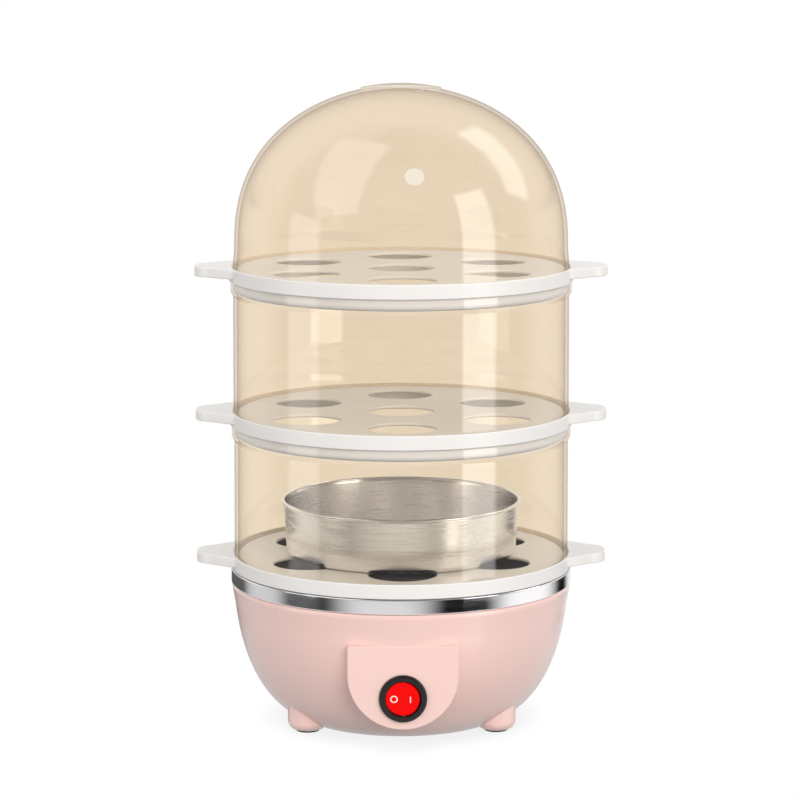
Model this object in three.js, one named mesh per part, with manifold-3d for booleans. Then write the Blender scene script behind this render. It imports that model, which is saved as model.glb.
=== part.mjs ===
// A three-tier electric egg cooker: a bowl-shaped heater base with a rocker switch, a steel water pan, and a
// stack of lift-off pieces: tray, cover ring, tray, cover ring, tray and domed lid, with a steel steaming bowl
// on the lowest tray. Millimetres, +Z up, the switch faces -Y, and the origin is under the middle of the feet.
import * as THREE from "three";
import { mergeVertices } from "three/addons/utils/BufferGeometryUtils.js";
import Module from "manifold-3d";

const wasm = await Module();
wasm.setup();

// ---------------------------------------------------------------- driving dimensions
const TRAY_R = 88.3; // outer radius of the tray rims and the pan's band
const TIER_H = 74.45; // height that one tray and one cover ring add to the stack
const PAN_SEAT_Z = 80.3; // where the lowest tray's rim rests on the pan's band
const TOTAL_H = 329.5; // top of the lid
const GAP = 0.3; // space left between pieces that rest on or in each other
const FIT = 0.5; // radial play of a nesting skirt
const ROUND = 30; // sides of a large round piece

// trays
const RIM_H = 7.4;
const RIM_WALL = 1.2;
const FLOOR_TOP = 6.1; // above the tray's seat
const FLOOR_T = 1.8;
const SKIRT_H = 6.2;
const SKIRT_WALL = 1.5;
const SKIRT_TURN = 3.2; // how far the skirt's lower edge turns in
const EGG_HOLE_R = 17.2;
const EGG_PITCH_R = 55.8; // circle of the six outer egg seats
const HANDLE_TIP_X = 106;
const HANDLE_ROOT_HALF = 19.5;
const HANDLE_TIP_HALF = 10.5;
const HANDLE_T = 5;

// cover rings and lid
const COVER_WALL = 1.8;
const COVER_R = 86.5; // outer radius of the rings' and the lid's straight walls
const COLLAR_R = 87.5; // outer radius of a ring's collar, which takes the skirt of the tray above it
const COLLAR_WALL = 1;
const COLLAR_DROP = 7.4; // from the collar's top to where its shoulder meets the straight wall
const DOME_R = 85.5; // the lid's wall leans in from COVER_R to this where the dome begins
const DOME_RISE = 82.7;
const DOME_POWERS = [1.955, 2.405];
const DISC_R = 20.6; // the low round platform on the dome
const DISC_RISE = 0.9;
const VENT_R = 5;
const VENT_ELEVATION = 35; // degrees above level that the vent's axis points
const VENT_TURN = 4.35; // degrees from the front towards +X
const VENT_PITCH_R = 77; // the vent's distance from the middle
const VENT_DROP = 40.1; // and how far it is below the lid's top

// base
const SHELL_R = 86.9;
const SHELL_TOP = 72.2;
const SHELL_DEPTH = 75.4;
const SHELL_POWERS = [4.46, 1.79];
const SHELL_WALL = 2.4;
const SHELL_BOTTOM = 1.6; // height of the bowl's flat underside
const MOUTH_R = 87.8; // outer radius of the low bead round the bowl's mouth
const MOUTH_H = 2.4;
const LIP_R = 44; // radius of the recess that the service cover sits in
const LEDGE_Z = [5.5, 7.5]; // under and upper face of the ledge that the service cover screws to
const LEDGE_R = 34;
const COVER_PLATE_Z = [3.2, 5.2];
const COVER_SCREW_R = 38.5;
const COVER_SCREW_ANGLES = [-90, 30, 150];

// feet, with the screws that hold the pan
const FOOT_ANGLES = [-145, -35, 90];
const FOOT_PITCH_R = 59;
const FOOT_R = 10.2;
const FOOT_BOTTOM = 0.8;
const BOSS_R = 5.5;
const BOSS_TOP = 31;

// water pan
const PAN_FLOOR = 55.2; // the pan's bottom, upper face
const PAN_T = 0.8;
const PAN_FLOOR_R = 71;
const PAN_MOUTH_R = 78.4;
const BAND_BOTTOM = SHELL_TOP + GAP;

// rocker switch, on a flat D-shaped panel that stands out of the bowl's front
const PANEL_Y = -85.9;
const PANEL_HALF_W = 27.7;
const PANEL_TOP = 56;
const PANEL_ARC_Z = 41.3; // centre of the D's round lower end
const SWITCH_Z = 29.8;
const BEZEL_R = 12;
const BEZEL_T = 2;
const BEZEL_BORE = 8.8;
const BARREL_R = 10;
const BARREL_DEPTH = 17;
const ROCKER_R = 8.2;
const ROCKER_TILT = 8; // degrees either side of level
const PIVOT_DEPTH = 2.5; // the rocker's axle, behind the bezel's face
const BEZEL_Y = PANEL_Y - GAP - BEZEL_T;

// cord outlet at the back
const OUTLET_Z = 24;
const OUTLET_FACE_Y = 82.5;
const OUTLET_BORE = 4.9;
const GLAND_TIP_Y = 90.26; // as far back as the switch's proud edge is forward

// steaming bowl
const BOWL_R = 62;
const BOWL_FOOT_R = 59.5;
const BOWL_H = 28.5;
const BOWL_WALL = 0.8;

// heater, under the pan
const HEATER_TOP = PAN_FLOOR - PAN_T - GAP;
const PLATE_R = 36;
const PLATE_T = 4;
const TUBE_R = 3.3;
const TUBE_PITCH_R = 26;
const STUD_R = 2.4;
const WIRE_R = 1.1;
const tubeZ = HEATER_TOP - PLATE_T - GAP - TUBE_R;
const strapTop = tubeZ - TUBE_R - GAP;
const seatOf = (tier) => PAN_SEAT_Z + tier * TIER_H;
const rad = THREE.MathUtils.degToRad;

// ---------------------------------------------------------------- materials
const paint = (color, roughness, metalness = 0, extra = {}) =>
  new THREE.MeshStandardMaterial({ color, roughness, metalness, ...extra });
const PINK = paint(0xf3c8bf, 0.28);
const WHITE = paint(0xf3f0ec, 0.35);
const AMBER = paint(0xe6cfa8, 0.08, 0, { transparent: true, opacity: 0.35 });
const STEEL = paint(0xc9cbce, 0.15, 1);
const ALUMINIUM = paint(0xb9bcc0, 0.45, 1);
const BRASS = paint(0xc8a552, 0.35, 1);
const BLACK = paint(0x241d1d, 0.4);
const RED = paint(0xe60000, 0.25);
const SILICONE = paint(0xd8d6d2, 0.7);
const RUBBER = paint(0x4a4a4c, 0.8);
const CERAMIC = paint(0xece6da, 0.6);
const SLEEVING = paint(0xe9e4dc, 0.6);

// ---------------------------------------------------------------- solids
function manifoldOf(vertProperties, triangles) {
  return new wasm.Manifold(new wasm.Mesh({ numProp: 3, vertProperties, triVerts: new Uint32Array(triangles) }));
}

// Turns a closed geometry into a solid that can be cut and joined, with its faces pointing out.
function solid(geometry) {
  const bare = new THREE.BufferGeometry();
  bare.setAttribute("position", geometry.getAttribute("position").clone());
  if (geometry.index) bare.setIndex(geometry.index.clone());
  const merged = mergeVertices(bare, 1e-4);
  const index = merged.index.array;
  const kept = [];
  const flipped = [];
  for (let i = 0; i < index.length; i += 3) {
    const [a, b, c] = [index[i], index[i + 1], index[i + 2]];
    if (a === b || b === c || a === c) continue;
    kept.push(a, b, c);
    flipped.push(a, c, b);
  }
  const made = manifoldOf(merged.attributes.position.array, kept);
  return made.volume() > 0 ? made : manifoldOf(merged.attributes.position.array, flipped);
}

function geometryOf(made) {
  const { numProp, vertProperties, triVerts } = made.getMesh();
  const count = vertProperties.length / numProp;
  const position = new Float32Array(count * 3);
  for (let i = 0; i < count; i++) {
    position.set(vertProperties.subarray(i * numProp, i * numProp + 3), i * 3);
  }
  const geometry = new THREE.BufferGeometry();
  geometry.setAttribute("position", new THREE.BufferAttribute(position, 3));
  geometry.setIndex(new THREE.BufferAttribute(triVerts, 1));
  geometry.computeVertexNormals();
  return geometry;
}

// A solid turned about Z from [radius, height] points that start and end on the axis, or close on themselves.
function turned(profile, sides = ROUND) {
  const closed = profile[0][0] === 0 ? profile : [...profile, profile[0]];
  const geometry = new THREE.LatheGeometry(closed.map(([r, z]) => new THREE.Vector2(r, z)), sides);
  return solid(geometry.rotateX(Math.PI / 2));
}

// A round bar along Z from its lower to its upper height, with an optional bore.
function bar(radius, low, high, sides = 16, bore = 0) {
  return turned([[bore, low], [radius, low], [radius, high], [bore, high]], sides);
}

// A flat outline in XY raised along Z.
function raised(shape, low, high, curveSegments = 8) {
  const geometry = new THREE.ExtrudeGeometry(shape, { depth: high - low, bevelEnabled: false, curveSegments });
  return solid(geometry.translate(0, 0, low));
}

// A round section that follows a curve, with flat ends.
function tubeAlong(curve, radius, steps, sides = 8) {
  const section = new THREE.Shape();
  section.absarc(0, 0, radius, 0, 2 * Math.PI, false);
  const options = { steps, curveSegments: sides / 2, bevelEnabled: false, extrudePath: curve };
  return solid(new THREE.ExtrudeGeometry(section, options));
}

const box = (size, centre) => solid(new THREE.BoxGeometry(...size).translate(...centre));
const moved = (made, x, y, z = 0) => made.translate([x, y, z]);
const around = (angle, radius) => [radius * Math.cos(rad(angle)), radius * Math.sin(rad(angle))];
// These lay a solid built along Z down along Y, with its top to the front or to the back.
const facingFront = (made) => made.rotate([90, 0, 0]);
const facingBack = (made) => made.rotate([-90, 0, 0]);

const cooker = new THREE.Group();
cooker.name = "egg_cooker";
function add(name, made, material) {
  const mesh = new THREE.Mesh(geometryOf(made), material);
  mesh.name = name;
  cooker.add(mesh);
}

// Quarter of a superellipse as [radius, height] points, from its widest level: the lid's dome and the base's
// bowl are both this curve. It stops early where it reaches the height "until".
function quarter(radius, height, [powerR, powerZ], steps, until = height) {
  const end = Math.asin((until / height) ** (powerZ / 2));
  return Array.from({ length: steps + 1 }, (_, i) => {
    const t = (end * i) / steps;
    const r = until === height && i === steps ? 0 : radius * Math.cos(t) ** (2 / powerR);
    return [r, height * Math.sin(t) ** (2 / powerZ)];
  });
}

// ---------------------------------------------------------------- trays
const skirtR = COLLAR_R - COLLAR_WALL - FIT;

function handle() {
  const tab = new THREE.Shape();
  tab.moveTo(80, -HANDLE_ROOT_HALF - 4.5);
  tab.quadraticCurveTo(TRAY_R + 3, -HANDLE_ROOT_HALF, HANDLE_TIP_X - 7, -HANDLE_TIP_HALF - 2.2);
  tab.quadraticCurveTo(HANDLE_TIP_X, -HANDLE_TIP_HALF, HANDLE_TIP_X, -2);
  tab.lineTo(HANDLE_TIP_X, 2);
  tab.quadraticCurveTo(HANDLE_TIP_X, HANDLE_TIP_HALF, HANDLE_TIP_X - 7, HANDLE_TIP_HALF + 2.2);
  tab.quadraticCurveTo(TRAY_R + 3, HANDLE_ROOT_HALF, 80, HANDLE_ROOT_HALF + 4.5);
  tab.closePath();
  return raised(tab, RIM_H - HANDLE_T, RIM_H, 4).subtract(bar(TRAY_R - RIM_WALL / 2, -10, 20, ROUND));
}

function tray() {
  const channel = [COVER_R - COVER_WALL - FIT, TRAY_R - RIM_WALL];
  const under = FLOOR_TOP - FLOOR_T;
  const innerR = skirtR - SKIRT_WALL;
  const plain = turned([
    [0, FLOOR_TOP],
    [channel[0], FLOOR_TOP],
    [channel[0], under],
    [channel[1], under],
    [channel[1], RIM_H],
    [TRAY_R, RIM_H],
    [TRAY_R, 0],
    [skirtR, 0],
    [skirtR, SKIRT_TURN - SKIRT_H],
    [skirtR - SKIRT_TURN * 0.3, SKIRT_TURN * 0.3 - SKIRT_H],
    [skirtR - SKIRT_TURN, -SKIRT_H],
    [innerR - SKIRT_TURN * 0.7, -SKIRT_H],
    [innerR, SKIRT_TURN * 1.2 - SKIRT_H],
    [innerR, under - FLOOR_T],
    [innerR - 1.6, under - FLOOR_T],
    [innerR - 1.6, under],
    [0, under],
  ]);
  const egg = bar(EGG_HOLE_R, -1, RIM_H + 1, 14);
  let made = plain.add(handle()).add(handle().rotate([0, 0, 180])).subtract(egg);
  for (let i = 0; i < 6; i++) made = made.subtract(moved(egg, ...around(-90 + 60 * i, EGG_PITCH_R)));
  return made;
}
["tray_lower", "tray_middle", "tray_upper"].forEach((name, tier) => {
  add(name, moved(tray(), 0, 0, seatOf(tier)), WHITE);
});

// ---------------------------------------------------------------- cover rings and lid
const coverLow = FLOOR_TOP - FLOOR_T + GAP; // above the seat of the tray that the cover stands on

function coverRing() {
  const high = TIER_H - GAP;
  const shoulder = high - COLLAR_DROP;
  const step = COLLAR_R - COVER_R;
  return turned([
    [COVER_R - COVER_WALL, coverLow],
    [COVER_R, coverLow],
    [COVER_R, shoulder],
    [COLLAR_R, shoulder + step],
    [COLLAR_R, high],
    [COLLAR_R - COLLAR_WALL, high],
    [COLLAR_R - COLLAR_WALL, shoulder + step * 2],
    [COVER_R - COVER_WALL, shoulder],
  ]);
}

function lid() {
  const low = seatOf(2) + coverLow;
  const springLine = TOTAL_H - DISC_RISE - DOME_RISE;
  const shape = (inset, bottom) => {
    const dome = quarter(DOME_R - inset, DOME_RISE - inset, DOME_POWERS, 8);
    return turned([[0, bottom], [COVER_R - inset, bottom], ...dome.map(([r, z]) => [r, z + springLine])]);
  };
  const disc = bar(DISC_R, TOTAL_H - 5, TOTAL_H + 5, ROUND).intersect(moved(shape(0, low), 0, 0, DISC_RISE));
  const drill = facingFront(bar(VENT_R, -10, 10, 12)).rotate([-VENT_ELEVATION, 0, 0]);
  const vent = moved(drill, 0, -VENT_PITCH_R, TOTAL_H - VENT_DROP).rotate([0, 0, VENT_TURN]);
  return shape(0, low).add(disc).subtract(shape(COVER_WALL, low - 5)).subtract(vent);
}
["cover_ring_lower", "cover_ring_upper"].forEach((name, tier) => {
  add(name, moved(coverRing(), 0, 0, seatOf(tier)), AMBER);
});
add("lid", lid(), AMBER);

function steamingBowl() {
  return turned([
    [0, 0],
    [BOWL_FOOT_R - 2.4, 0],
    [BOWL_FOOT_R, 2.6],
    [BOWL_R - 1, BOWL_H - 1.4],
    [BOWL_R, BOWL_H - 0.8],
    [BOWL_R, BOWL_H],
    [BOWL_R - 1.6, BOWL_H],
    [BOWL_FOOT_R - BOWL_WALL, 3],
    [BOWL_FOOT_R - 2.8, BOWL_WALL],
    [0, BOWL_WALL],
  ]);
}
add("steaming_bowl", moved(steamingBowl(), 0, 0, seatOf(0) + FLOOR_TOP + GAP), STEEL);

// ---------------------------------------------------------------- water pan
function waterPan() {
  const ledge = PAN_SEAT_Z - SKIRT_H - GAP;
  const bandTop = PAN_SEAT_Z - GAP;
  return turned([
    [0, PAN_FLOOR],
    [PAN_FLOOR_R - 3, PAN_FLOOR],
    [PAN_FLOOR_R, PAN_FLOOR + 3],
    [PAN_MOUTH_R, ledge],
    [TRAY_R - COVER_WALL, ledge],
    [TRAY_R - COVER_WALL, bandTop],
    [TRAY_R, bandTop],
    [TRAY_R, BAND_BOTTOM + 1.4],
    [TRAY_R - 1.4, BAND_BOTTOM],
    [PAN_MOUTH_R + 0.6, BAND_BOTTOM],
    [PAN_FLOOR_R + PAN_T, PAN_FLOOR + 3 - PAN_T],
    [PAN_FLOOR_R - 2.6, PAN_FLOOR - PAN_T],
    [0, PAN_FLOOR - PAN_T],
  ]);
}
add("water_pan", waterPan(), STEEL);
add("pan_gasket", bar(84, SHELL_TOP - 1.4, SHELL_TOP, ROUND, 80.6), SILICONE);

// ---------------------------------------------------------------- base shell
function bowlProfile(inset) {
  const radius = SHELL_R - inset;
  const depth = SHELL_DEPTH - inset * 1.1;
  const floor = SHELL_BOTTOM + inset;
  return quarter(radius, depth, SHELL_POWERS, 7, SHELL_TOP - floor).map(([r, z]) => [r, SHELL_TOP - z]);
}

// The D-shaped block that carries the switch, from its front face back into the bowl.
function panelBlock(inset) {
  const half = PANEL_HALF_W - inset;
  const front = PANEL_Y + inset;
  const outline = new THREE.Shape();
  outline.moveTo(half, PANEL_TOP - inset);
  outline.lineTo(-half, PANEL_TOP - inset);
  outline.absarc(0, PANEL_ARC_Z, half, Math.PI, 2 * Math.PI, false);
  outline.closePath();
  return raised(outline, 0, 45, 6).rotate([90, 0, 0]).translate([0, front + 45, 0]);
}

// A foot and, above it, the screw boss that reaches up to the pan's standoff.
function footAndBoss() {
  return turned([
    [0, FOOT_BOTTOM],
    [FOOT_R - 4, FOOT_BOTTOM],
    [FOOT_R - 1.2, FOOT_BOTTOM + 1.8],
    [FOOT_R, FOOT_BOTTOM + 5],
    [FOOT_R, 9],
    [BOSS_R, 11],
    [BOSS_R, BOSS_TOP],
    [0, BOSS_TOP],
  ], 12);
}

function baseShell() {
  const rimTop = SHELL_TOP + 2;
  const [, ...bowl] = bowlProfile(0);
  const outer = turned([
    [0, SHELL_TOP],
    [MOUTH_R, SHELL_TOP],
    [MOUTH_R, SHELL_TOP - MOUTH_H + 1],
    [SHELL_R, SHELL_TOP - MOUTH_H],
    ...bowl,
    [LIP_R, SHELL_BOTTOM],
    [LIP_R, LEDGE_Z[0]],
    [0, LEDGE_Z[0]],
  ]);
  const [, ...innerWall] = bowlProfile(SHELL_WALL);
  const insideR = SHELL_R - SHELL_WALL;
  const lipOut = LIP_R + SHELL_WALL;
  let hollow = turned([
    [0, rimTop],
    [insideR, rimTop],
    ...innerWall,
    [lipOut, SHELL_BOTTOM + SHELL_WALL],
    [lipOut, LEDGE_Z[1]],
    [0, LEDGE_Z[1]],
  ]);
  const outletBore = facingBack(bar(7.5, 0, 20, 12));
  hollow = hollow.add(panelBlock(SHELL_WALL)).add(moved(outletBore, 0, OUTLET_FACE_Y - SHELL_WALL - 20, OUTLET_Z));

  let body = outer.add(panelBlock(0)).add(moved(facingBack(bar(10, 0, 20, 14)), 0, OUTLET_FACE_Y - 20, OUTLET_Z));
  body = body.subtract(hollow);
  for (const angle of FOOT_ANGLES) {
    const at = around(angle, FOOT_PITCH_R);
    body = body.add(moved(footAndBoss(), ...at));
    body = body.subtract(moved(bar(2.3, -1, BOSS_TOP + 1, 8), ...at));
    body = body.subtract(moved(bar(5.3, -1, 14, 10), ...at)).subtract(moved(bar(4.6, 13, 18, 10), ...at));
  }
  for (const angle of COVER_SCREW_ANGLES) {
    const at = around(angle, COVER_SCREW_R);
    body = body.add(moved(bar(3.2, LEDGE_Z[0], 15, 8), ...at));
    body = body.subtract(moved(bar(1.6, 0, 13, 6), ...at));
  }
  body = body.subtract(bar(LEDGE_R, -1, LEDGE_Z[1] + 0.5, ROUND));
  body = body.subtract(moved(facingFront(bar(BARREL_R + GAP, -6, 6, 20)), 0, PANEL_Y, SWITCH_Z));
  return body.subtract(moved(facingBack(bar(OUTLET_BORE, -12, 6, 14)), 0, OUTLET_FACE_Y, OUTLET_Z));
}
add("base_shell", baseShell(), PINK);

function serviceCover() {
  let plate = bar(LIP_R - 0.4, ...COVER_PLATE_Z, ROUND);
  for (const angle of COVER_SCREW_ANGLES) {
    plate = plate.subtract(moved(bar(1.9, 0, 10, 8), ...around(angle, COVER_SCREW_R)));
  }
  for (const y of [-12, -6, 0, 6, 12]) plate = plate.subtract(box([26, 2.2, 10], [0, y, COVER_PLATE_Z[0]]));
  return plate;
}
add("service_cover", serviceCover(), PINK);

// ---------------------------------------------------------------- fasteners and foot pads
function screw(shankR, headR, headT, length) {
  return turned([[0, 0], [headR, 0], [headR, headT], [shankR, headT], [shankR, length], [0, length]], 8);
}

COVER_SCREW_ANGLES.forEach((angle, i) => {
  const made = screw(1.2, 2.6, 0.8, 9);
  add(`cover_screw_${i + 1}`, moved(made, ...around(angle, COVER_SCREW_R), COVER_PLATE_Z[0] - 0.8 - GAP), STEEL);
});

FOOT_ANGLES.forEach((angle, i) => {
  const at = around(angle, FOOT_PITCH_R);
  const [low, high, bore] = [BOSS_TOP + GAP, HEATER_TOP, 2.1];
  const standoff = [[0, high], [3.6, high], [3.6, low], [bore, low], [bore, low + 14], [0, low + 14]];
  add(`pan_standoff_${i + 1}`, moved(turned(standoff, 10), ...at), STEEL);
  add(`pan_screw_${i + 1}`, moved(screw(1.8, 4, 2.2, 25), ...at, 15.5), STEEL);
  const padTop = FOOT_BOTTOM - GAP;
  const pad = [[0, 0], [5.4, 0], [6, padTop], [4.8, padTop], [4.8, 8], [0, 8]];
  add(`foot_pad_${i + 1}`, moved(turned(pad, 12), ...at), RUBBER);
});

// ---------------------------------------------------------------- heater
add("heater_plate", bar(PLATE_R, HEATER_TOP - PLATE_T, HEATER_TOP, 24, STUD_R + 0.4), ALUMINIUM);

// The tubular element: an open ring whose two ends turn down.
class Horseshoe extends THREE.Curve {
  getPoint(t, target = new THREE.Vector3()) {
    const [x, y] = around(-60 + 300 * t, TUBE_PITCH_R);
    const past = Math.max(0, Math.abs(t - 0.5) - 0.43) / 0.07;
    return target.set(x, y, tubeZ - 9 * past ** 2);
  }
}
const element = new Horseshoe();
add("heating_tube", tubeAlong(element, TUBE_R, 26), STEEL);
add("clamp_stud", bar(STUD_R, strapTop - 10, HEATER_TOP, 10), STEEL);
const studHole = bar(STUD_R + GAP, strapTop - 10, strapTop + 5, 10);
add("heater_clamp", box([64, 12, 2], [0, 0, strapTop - 1]).subtract(studHole), STEEL);
add("clamp_nut", bar(4.6, strapTop - 6.3, strapTop - 2 - GAP, 6).subtract(studHole), STEEL);

const THERMOSTAT_Y = 14.6;
const thermostatTop = HEATER_TOP - PLATE_T - GAP;
const thermostatBottom = thermostatTop - 10.5;
const thermostatProfile = [[0, 0], [7, 0], [7, -5], [8, -5], [8, -10.5], [0, -10.5]];
add("thermostat", moved(turned(thermostatProfile, 14), 0, THERMOSTAT_Y, thermostatTop), CERAMIC);

const FUSE_Y = -14;
const FUSE_HALF = 9;
const fuseZ = thermostatTop - 2.5;
add("thermal_fuse", bar(2.3, -FUSE_HALF, FUSE_HALF, 12).rotate([0, 90, 0]).translate([0, FUSE_Y, fuseZ]), CERAMIC);
add("fuse_clip", box([7, 9, 1.2], [0, FUSE_Y, fuseZ - 3.3]), STEEL);

// ---------------------------------------------------------------- rocker switch
// Places a piece built with its front on Z = 0 at the bezel's face, turned to the front.
const onPanel = (made) => moved(facingFront(made), 0, BEZEL_Y, SWITCH_Z);
const BLADE_X = 3.8;

function switchHousing() {
  const cup = turned([
    [0, 3 - BARREL_DEPTH],
    [BEZEL_BORE, 3 - BARREL_DEPTH],
    [BEZEL_BORE, 0],
    [BEZEL_R - 0.8, 0],
    [BEZEL_R, -0.8],
    [BEZEL_R, -BEZEL_T],
    [BARREL_R, -BEZEL_T],
    [BARREL_R, -BARREL_DEPTH],
    [0, -BARREL_DEPTH],
  ], 20);
  const axleHole = bar(1.3, -9.6, 9.6, 8).rotate([90, 0, 0]);
  const bladeSlot = (side) => box([1.6, 5.6, 8], [side * BLADE_X, 0, -BARREL_DEPTH]);
  return cup.subtract(moved(axleHole, 0, 0, -PIVOT_DEPTH)).subtract(bladeSlot(1)).subtract(bladeSlot(-1));
}

// The rocker, level: its front is a shallow valley, so that the pressed half lies flush with the bezel.
function rocker() {
  const disc = turned([[0, -6], [6.6, -6], [ROCKER_R, -3.4], [ROCKER_R, 4], [0, 4]], 20);
  const above = (side) => box([30, 30, 20], [side * 15, 0, 10]).rotate([0, -side * ROCKER_TILT, 0]);
  const valley = moved(above(1).intersect(above(-1).add(above(1))), 0, 0, -0.2).add(moved(above(-1), 0, 0, -0.2));
  const axleBore = moved(bar(1.3, -12, 12, 8).rotate([90, 0, 0]), 0, 0, -PIVOT_DEPTH);
  return disc.subtract(valley).subtract(axleBore);
}

const tilted = rocker().translate([0, 0, PIVOT_DEPTH]).rotate([0, -ROCKER_TILT, 0]).translate([0, 0, -PIVOT_DEPTH]);
add("switch_housing", onPanel(switchHousing()), BLACK);
add("switch_rocker", onPanel(tilted), RED);
add("rocker_axle", onPanel(moved(bar(1, -9.4, 9.4, 8).rotate([90, 0, 0]), 0, 0, -PIVOT_DEPTH)), STEEL);
[-1, 1].forEach((side, i) => {
  const blade = box([0.8, 4.8, 13], [side * BLADE_X, 0, 2 - BARREL_DEPTH - 6.5 + 1]);
  add(`switch_terminal_${i + 1}`, onPanel(blade), BRASS);
});

// ---------------------------------------------------------------- cord outlet and wiring
const gland = [
  [3.3, -7],
  [6, -7],
  [6, -SHELL_WALL - GAP],
  [OUTLET_BORE - GAP, -SHELL_WALL - GAP],
  [OUTLET_BORE - GAP, GAP],
  [7, GAP],
  [7, 2.2],
  [5.4, 3],
  [4.6, GLAND_TIP_Y - OUTLET_FACE_Y],
  [3.3, GLAND_TIP_Y - OUTLET_FACE_Y],
];
add("cord_gland", moved(facingBack(turned(gland, 12)), 0, OUTLET_FACE_Y, OUTLET_Z), BLACK);

const BLOCK_Y = 39.6;
const blockLow = LEDGE_Z[1] + GAP;
const blockTop = blockLow + 10;
let block = box([26, 9, 10], [0, BLOCK_Y, blockLow + 5]);
for (const x of [-8, 0, 8]) block = block.subtract(moved(bar(1.8, blockTop - 4, blockTop + 2, 6), x, BLOCK_Y + 1.5));
add("terminal_block", block, CERAMIC);

// Each wire is a smooth line through its points, starting and ending just short of what it joins.
const bladeBack = BEZEL_Y + BARREL_DEPTH + 10.8;
const blockFront = BLOCK_Y - 4.5 - GAP;
const [endA, endB] = [element.getPoint(0), element.getPoint(1)];
const offEnd = (end, side, out) => [end.x - side * out * 0.35, end.y - out * 0.25, end.z - out];
const wires = {
  wire_live: [
    [-8, blockFront, 13],
    [-10, 28, 13.5],
    [-20, 6, 15],
    [-22, -20, 20],
    [-12, -46, 27],
    [-4.5, -56, SWITCH_Z],
    [-BLADE_X, bladeBack + GAP, SWITCH_Z],
  ],
  wire_switched: [
    [BLADE_X, bladeBack + GAP, SWITCH_Z],
    [4.5, -56, SWITCH_Z],
    [5, -42, 32],
    [2, -28, 35],
    [4, -20, 38],
    [11.5, -16.5, 42.5],
    [12.8, -14.6, fuseZ - 1],
    [FUSE_HALF + GAP, FUSE_Y, fuseZ],
  ],
  wire_fuse_to_thermostat: [
    [-FUSE_HALF - GAP, FUSE_Y, fuseZ],
    [-13.5, -13.6, fuseZ - 0.8],
    [-15.5, -9, 40],
    [-15, 0, 34.5],
    [-10, 10, 33.5],
    [-4.6, THERMOSTAT_Y, 35.5],
    [-4, THERMOSTAT_Y, thermostatBottom - GAP],
  ],
  wire_thermostat_to_heater: [
    [4, THERMOSTAT_Y, thermostatBottom - GAP],
    [4.6, THERMOSTAT_Y, 35],
    [14, 8, 30],
    [19, -8, 27.5],
    [17, -20, 28.5],
    offEnd(endA, 1, 4),
    offEnd(endA, 1, 2.6),
  ],
  wire_neutral: [
    [8, blockFront, 13],
    [9, 28, 13.5],
    [6, 8, 14],
    [-6, -12, 18],
    [-14, -22, 27],
    offEnd(endB, -1, 4),
    offEnd(endB, -1, 2.6),
  ],
};
for (const [name, points] of Object.entries(wires)) {
  const curve = new THREE.CatmullRomCurve3(points.map((p) => new THREE.Vector3(...p)));
  add(name, tubeAlong(curve, WIRE_R, 18, 6), SLEEVING);
}

export default cooker;
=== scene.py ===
# Looks for the three-tier egg cooker: fine meshes, materials, studio and camera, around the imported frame.
# Shapes are drawn in millimetres in the frame's own axes, and become metres where a mesh is made.
import math

import bmesh
import bpy
from mathutils import Matrix, Vector


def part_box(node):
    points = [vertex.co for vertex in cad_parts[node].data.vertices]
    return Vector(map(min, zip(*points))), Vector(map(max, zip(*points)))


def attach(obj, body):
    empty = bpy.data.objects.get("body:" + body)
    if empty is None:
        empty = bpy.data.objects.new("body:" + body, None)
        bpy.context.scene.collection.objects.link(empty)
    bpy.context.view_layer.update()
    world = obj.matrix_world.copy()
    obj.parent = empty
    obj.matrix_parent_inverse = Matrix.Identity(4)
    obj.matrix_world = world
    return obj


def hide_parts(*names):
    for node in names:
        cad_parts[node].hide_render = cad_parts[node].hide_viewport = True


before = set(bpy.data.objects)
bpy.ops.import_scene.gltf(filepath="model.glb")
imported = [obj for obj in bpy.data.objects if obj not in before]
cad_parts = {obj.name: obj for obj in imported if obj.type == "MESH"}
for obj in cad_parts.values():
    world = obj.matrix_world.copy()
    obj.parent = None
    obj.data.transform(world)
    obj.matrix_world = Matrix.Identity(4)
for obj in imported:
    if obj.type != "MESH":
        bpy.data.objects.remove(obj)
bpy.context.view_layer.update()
scene = bpy.context.scene
MM = 0.001

# ---------------------------------------------------------------- camera, in metres
CAMERA_AT = (-0.0187, -1.5993, 0.4166)
CAMERA_TURN = -0.65  # degrees about Z, from looking along +Y
CAMERA_TILT = 81.106  # degrees up from straight down
LENS = 140.94  # millimetres, on the sensor below
SENSOR_WIDTH = 36


def make_camera():
    data = bpy.data.cameras.new("camera")
    data.lens = LENS
    data.sensor_width = SENSOR_WIDTH
    camera = bpy.data.objects.new("camera", data)
    camera.location = CAMERA_AT
    camera.rotation_euler = (math.radians(CAMERA_TILT), 0, math.radians(CAMERA_TURN))
    scene.collection.objects.link(camera)
    scene.camera = camera


make_camera()


# ---------------------------------------------------------------- sizes taken from the frame
def span(name):
    """Lowest and highest corner of a CAD node, in millimetres."""
    low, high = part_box(name)
    return low / MM, high / MM


tray_high = span("tray_lower")[1]
lid_low, lid_high = span("lid")
pan_high = span("water_pan")[1]
bowl_low, bowl_high = span("steaming_bowl")
plate_low, plate_high = span("service_cover")
housing_low, housing_high = span("switch_housing")
gland_low, gland_high = span("cord_gland")

TRAY_R = tray_high.y
HANDLE_TIP_X = tray_high.x
RIM_H = 7.4
SEATS = [span(name)[1].z - RIM_H for name in ("tray_lower", "tray_middle", "tray_upper")]
TIER_H = SEATS[1] - SEATS[0]
GAP = 0.3  # clearance between pieces that are pushed together

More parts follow.
